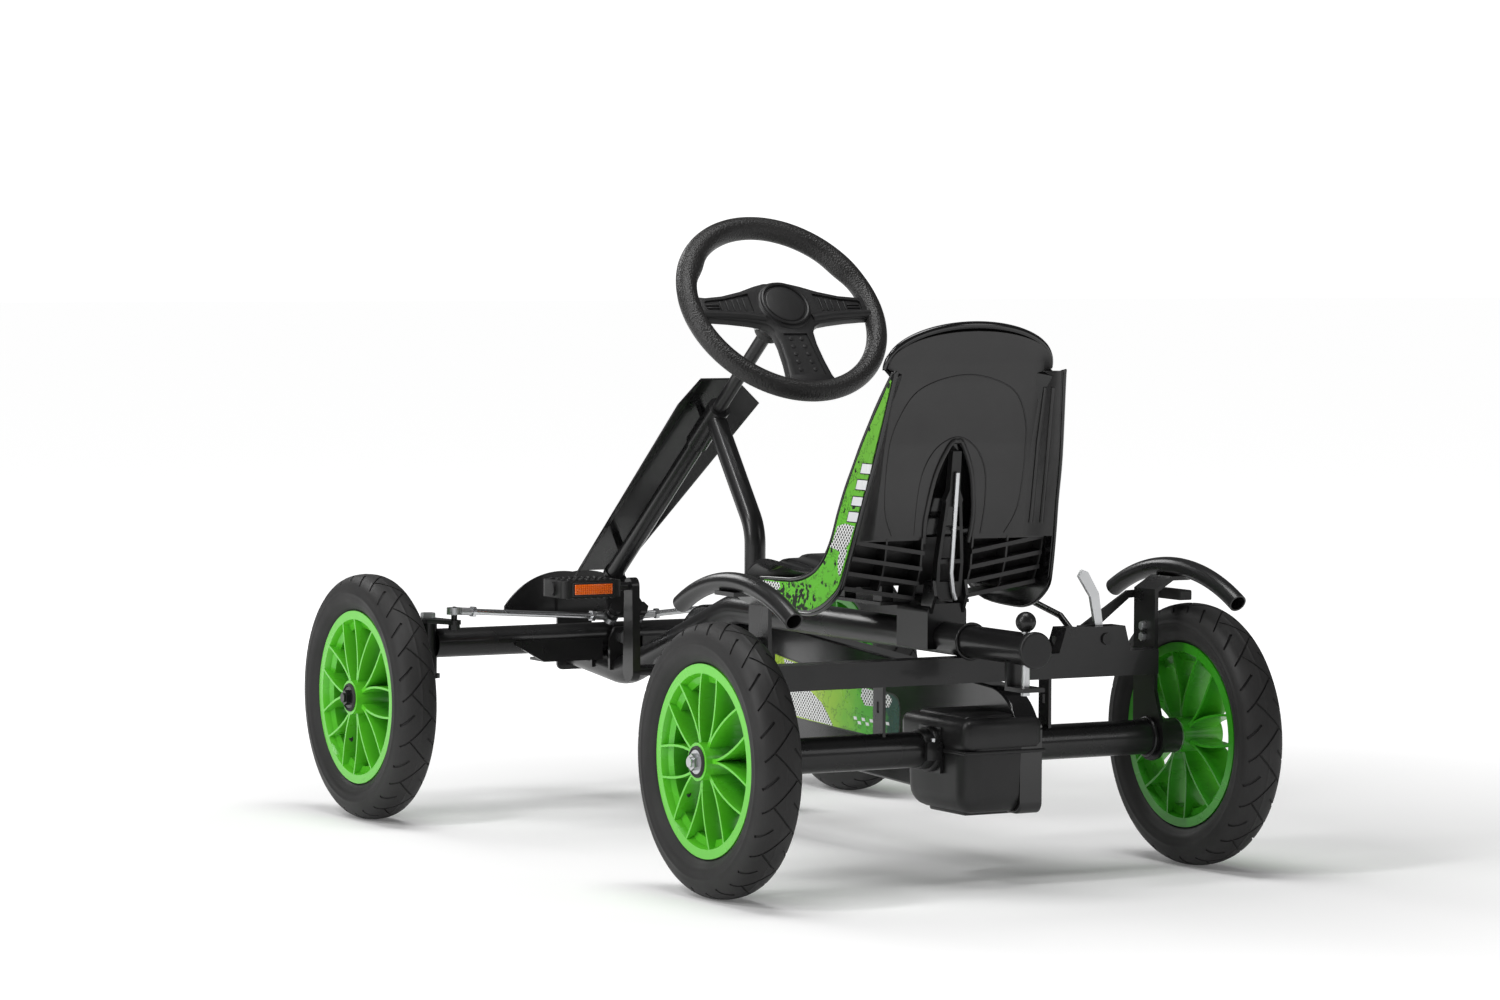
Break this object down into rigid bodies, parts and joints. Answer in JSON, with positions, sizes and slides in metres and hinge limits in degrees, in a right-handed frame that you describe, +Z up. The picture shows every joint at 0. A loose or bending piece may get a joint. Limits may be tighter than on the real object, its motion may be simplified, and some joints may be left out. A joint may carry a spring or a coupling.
{
  "type": "pedal go kart",
  "caption": "Ride-on pedal kart with a bucket seat, steering wheel, chain drive, hand brake and spoked wheels on pneumatic-style tyres.",
  "frame": {"origin": "on the ground, midway between the front and rear axles, on the kart's centre plane", "axes": "+X forward (the way the kart drives), +Y the driver's left, +Z up"},
  "size_m": [1.192, 0.798, 0.7821],
  "materials": {
    "powder_coat": "satin black powder coat",
    "zinc": "bright zinc plate",
    "chrome": "polished",
    "black_plastic": "fine-grained black",
    "gloss_shell": "glossy black",
    "print_green": "glossy green print",
    "rim_green": "glossy bright green",
    "tyre": "ribbed black rubber",
    "rubber": "matt"
  },
  "bodies": {
    "frame": {"main_tube": "powder_coat", "main_tube_cap": "black_plastic", "column_tube": "powder_coat", "column_strut": "powder_coat", "fairing": "powder_coat", "front_brackets": "powder_coat", "nose_panel": "powder_coat", "axle_pivot_bolt": "zinc", "bottom_bracket_shell": "powder_coat", "rear_cross_tube": "powder_coat", "hanger_bars": "powder_coat", "fender_bracket_left": "powder_coat", "fender_bracket_right": "powder_coat", "fender_bar_left": "powder_coat", "fender_bar_right": "powder_coat", "frame_bolts": "zinc", "rear_axle_tube_left": "powder_coat", "rear_axle_tube_right": "powder_coat", "gear_case_upper": "black_plastic", "gear_case_lower": "black_plastic", "chain_case": "gloss_shell", "chain": "zinc", "hitch_bracket": "powder_coat", "brake_bracket": "powder_coat"},
    "steering": {"steering_wheel_rim": "black_plastic", "steering_wheel_hub": "black_plastic", "steering_shaft": "zinc", "pitman_arm": "powder_coat"},
    "front_axle": {"front_axle": "powder_coat", "kingpins": "zinc"},
    "knuckle_left": {"knuckle_left": "powder_coat"},
    "knuckle_right": {"knuckle_right": "powder_coat"},
    "tie_rod_left": {"tie_rod_left": "chrome", "rod_ends_left": "zinc"},
    "tie_rod_right": {"tie_rod_right": "chrome", "rod_ends_right": "zinc"},
    "front_left_wheel": {"rim_front_left": "rim_green", "tyre_front_left": "tyre"},
    "front_right_wheel": {"rim_front_right": "rim_green", "tyre_front_right": "tyre"},
    "rear_axle": {"rear_axle_shaft": "zinc", "rear_sprocket": "zinc", "rim_rear_left": "rim_green", "rim_rear_right": "rim_green", "tyre_rear_left": "tyre", "tyre_rear_right": "tyre"},
    "crank": {"crank": "powder_coat", "chainring": "zinc"},
    "pedal_left": {"pedal_left": "black_plastic"},
    "pedal_right": {"pedal_right": "black_plastic"},
    "seat": {"seat_shell": "gloss_shell", "seat_back_shell": "black_plastic", "seat_side_prints": "print_green", "seat_clamp": "powder_coat"},
    "seat_lever": {"seat_lever": "black_plastic", "seat_lever_rod": "zinc"},
    "hitch_pin": {"hitch_pin": "chrome"},
    "hand_lever": {"hand_lever": "powder_coat"},
    "brake": {"brake_lever": "zinc", "brake_pad": "rubber"}
  },
  "joints": [
    {"name": "steering_turn", "type": "hinge", "parent": "frame", "child": "steering", "pos_m": [0.154, 0, 0.539], "axis": [-0.7771, 0, 0.6293], "range_deg": [-20, 20]},
    {"name": "front_axle_pivot", "type": "hinge", "parent": "frame", "child": "front_axle", "pos_m": [0.437, 0, 0.225], "axis": [1, 0, 0], "range_deg": [-5, 5]},
    {"name": "knuckle_left_turn", "type": "hinge", "parent": "front_axle", "child": "knuckle_left", "pos_m": [0.437, 0.276, 0.225], "axis": [0, 0, 1], "range_deg": [-27, 27]},
    {"name": "knuckle_right_turn", "type": "hinge", "parent": "front_axle", "child": "knuckle_right", "pos_m": [0.437, -0.276, 0.225], "axis": [0, 0, 1], "range_deg": [-27, 27]},
    {"name": "tie_rod_left_swing", "type": "hinge", "parent": "knuckle_left", "child": "tie_rod_left", "pos_m": [0.392, 0.26, 0.27], "axis": [0, 0, 1], "range_deg": [-29, 29]},
    {"name": "tie_rod_right_swing", "type": "hinge", "parent": "knuckle_right", "child": "tie_rod_right", "pos_m": [0.392, -0.26, 0.27], "axis": [0, 0, 1], "range_deg": [-29, 29]},
    {"name": "front_left_wheel_spin", "type": "hinge", "parent": "knuckle_left", "child": "front_left_wheel", "pos_m": [0.437, 0.36, 0.159], "axis": [0, 1, 0], "continuous": true},
    {"name": "front_right_wheel_spin", "type": "hinge", "parent": "knuckle_right", "child": "front_right_wheel", "pos_m": [0.437, -0.36, 0.159], "axis": [0, 1, 0], "continuous": true},
    {"name": "rear_axle_spin", "type": "hinge", "parent": "frame", "child": "rear_axle", "pos_m": [-0.437, 0, 0.159], "axis": [0, 1, 0], "continuous": true},
    {"name": "crank_spin", "type": "hinge", "parent": "frame", "child": "crank", "pos_m": [0.252, 0, 0.196], "axis": [0, 1, 0], "continuous": true},
    {"name": "pedal_left_spin", "type": "hinge", "parent": "crank", "child": "pedal_left", "pos_m": [0.252, 0.146, 0.306], "axis": [0, 1, 0], "continuous": true},
    {"name": "pedal_right_spin", "type": "hinge", "parent": "crank", "child": "pedal_right", "pos_m": [0.252, -0.146, 0.086], "axis": [0, 1, 0], "continuous": true},
    {"name": "seat_slide", "type": "slide", "parent": "frame", "child": "seat", "axis": [1, 0, 0], "range_m": [0, 0.1]},
    {"name": "seat_lever_lift", "type": "hinge", "parent": "seat", "child": "seat_lever", "pos_m": [-0.398, 0, 0.343], "axis": [0, -1, 0], "range_deg": [0, 60]},
    {"name": "hitch_pin_lift", "type": "slide", "parent": "frame", "child": "hitch_pin", "axis": [0, 0, 1], "range_m": [0, 0.08]},
    {"name": "hand_lever_lift", "type": "hinge", "parent": "frame", "child": "hand_lever", "pos_m": [-0.434, -0.147, 0.279], "axis": [0, -1, 0], "range_deg": [0, 22]},
    {"name": "brake_swing", "type": "hinge", "parent": "frame", "child": "brake", "pos_m": [-0.44, -0.19, 0.281], "axis": [1, 0, 0], "range_deg": [0, 2]}
  ],
  "couplings": [
    {"joint": "knuckle_left_turn", "follows": "steering_turn", "ratio": 1.333},
    {"joint": "knuckle_right_turn", "follows": "steering_turn", "ratio": 1.333},
    {"joint": "tie_rod_left_swing", "follows": "steering_turn", "ratio": -1.422},
    {"joint": "tie_rod_right_swing", "follows": "steering_turn", "ratio": -1.422},
    {"joint": "crank_spin", "follows": "rear_axle_spin", "ratio": 0.38889},
    {"joint": "brake_swing", "follows": "hand_lever_lift", "ratio": 0.09}
  ]
}
